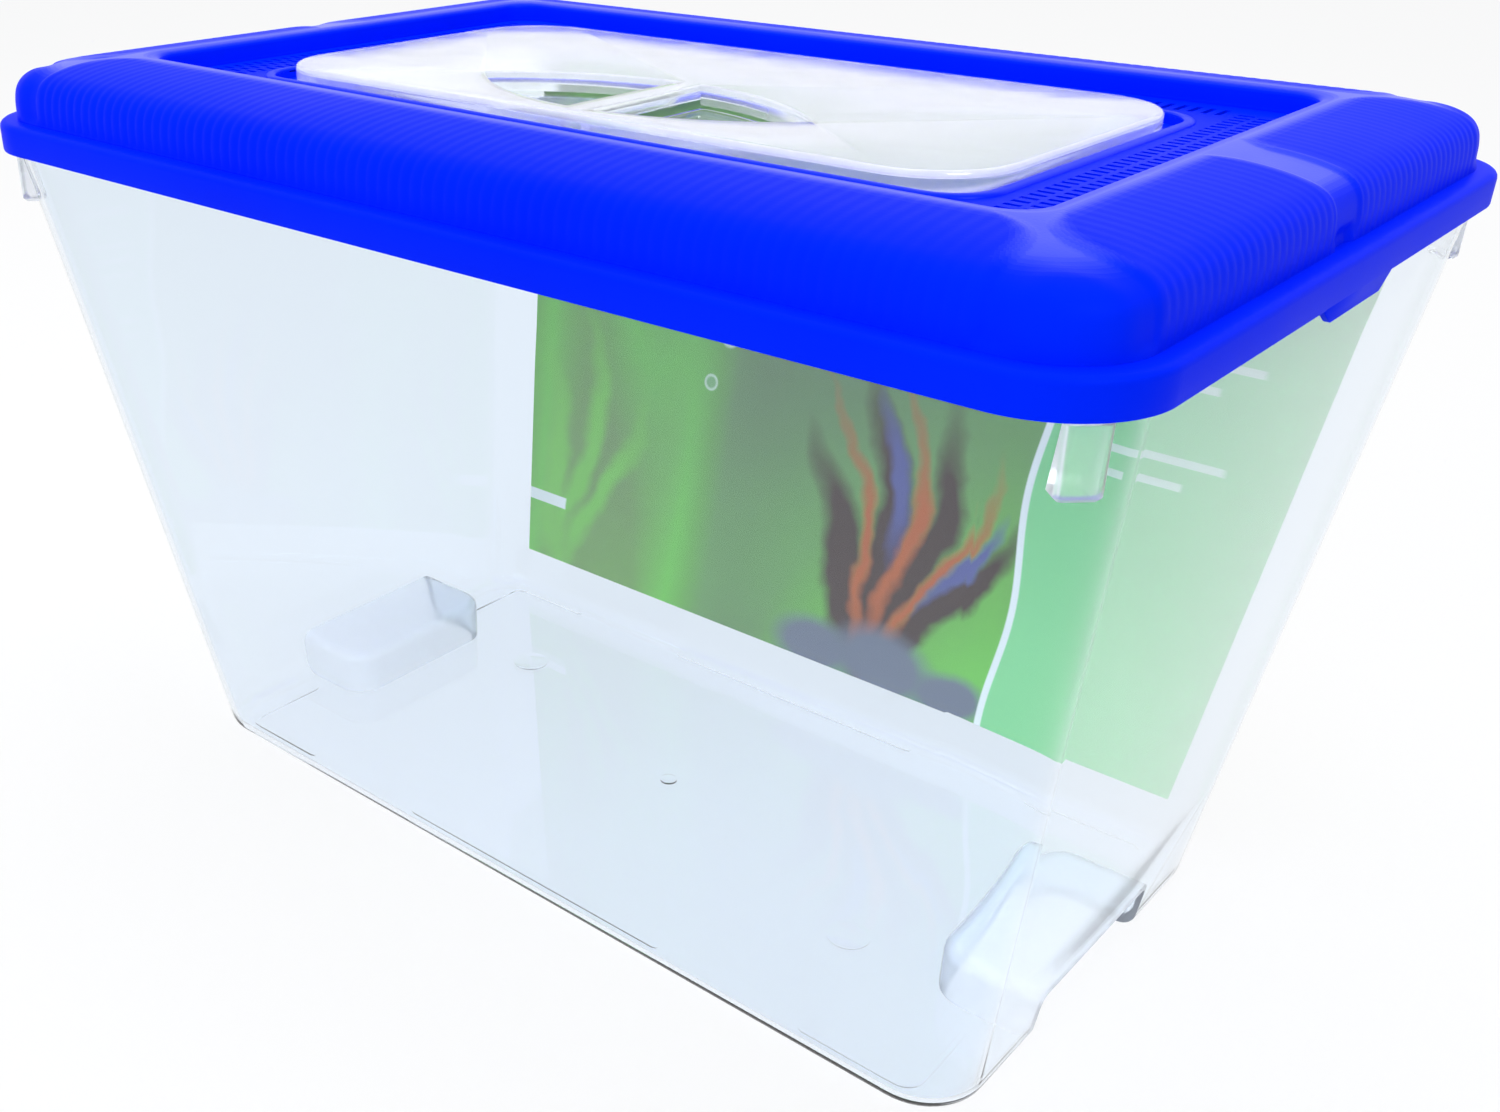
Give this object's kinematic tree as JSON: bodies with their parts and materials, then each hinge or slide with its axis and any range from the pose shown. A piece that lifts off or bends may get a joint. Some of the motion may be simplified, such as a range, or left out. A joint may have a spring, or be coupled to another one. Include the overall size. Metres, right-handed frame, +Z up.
{
  "type": "small aquarium",
  "caption": "Tapered clear tank with a ribbed coloured lid that lifts off, a clear hinged hatch in the lid and a printed background sheet.",
  "frame": {"origin": "centre of the overall box at the underside of the tank", "axes": "+X along the length, +Y to the back wall that the printed sheet stands against, +Z up"},
  "size_m": [0.38, 0.252, 0.247],
  "materials": {
    "clear_plastic": "clear moulded polystyrene, glossy",
    "lid_plastic": "royal blue moulded plastic, satin gloss with fine ribs",
    "hatch_plastic": "clear moulded polystyrene, glossy",
    "printed_sheet": "thin card printed with soft green water plants, silk finish"
  },
  "bodies": {
    "tank_body": {"tank": "clear_plastic", "insert": "printed_sheet"},
    "lid_body": {"lid": "lid_plastic"},
    "hatch_body": {"hatch": "hatch_plastic"}
  },
  "joints": [
    {"name": "lid_lift", "type": "slide", "parent": "tank_body", "child": "lid_body", "axis": [0, 0, 1], "range_m": [0, 0.15]},
    {"name": "hatch_hinge", "type": "hinge", "parent": "lid_body", "child": "hatch_body", "pos_m": [0, 0.0633, 0.2419], "axis": [-1, 0, 0], "range_deg": [0, 100]}
  ]
}
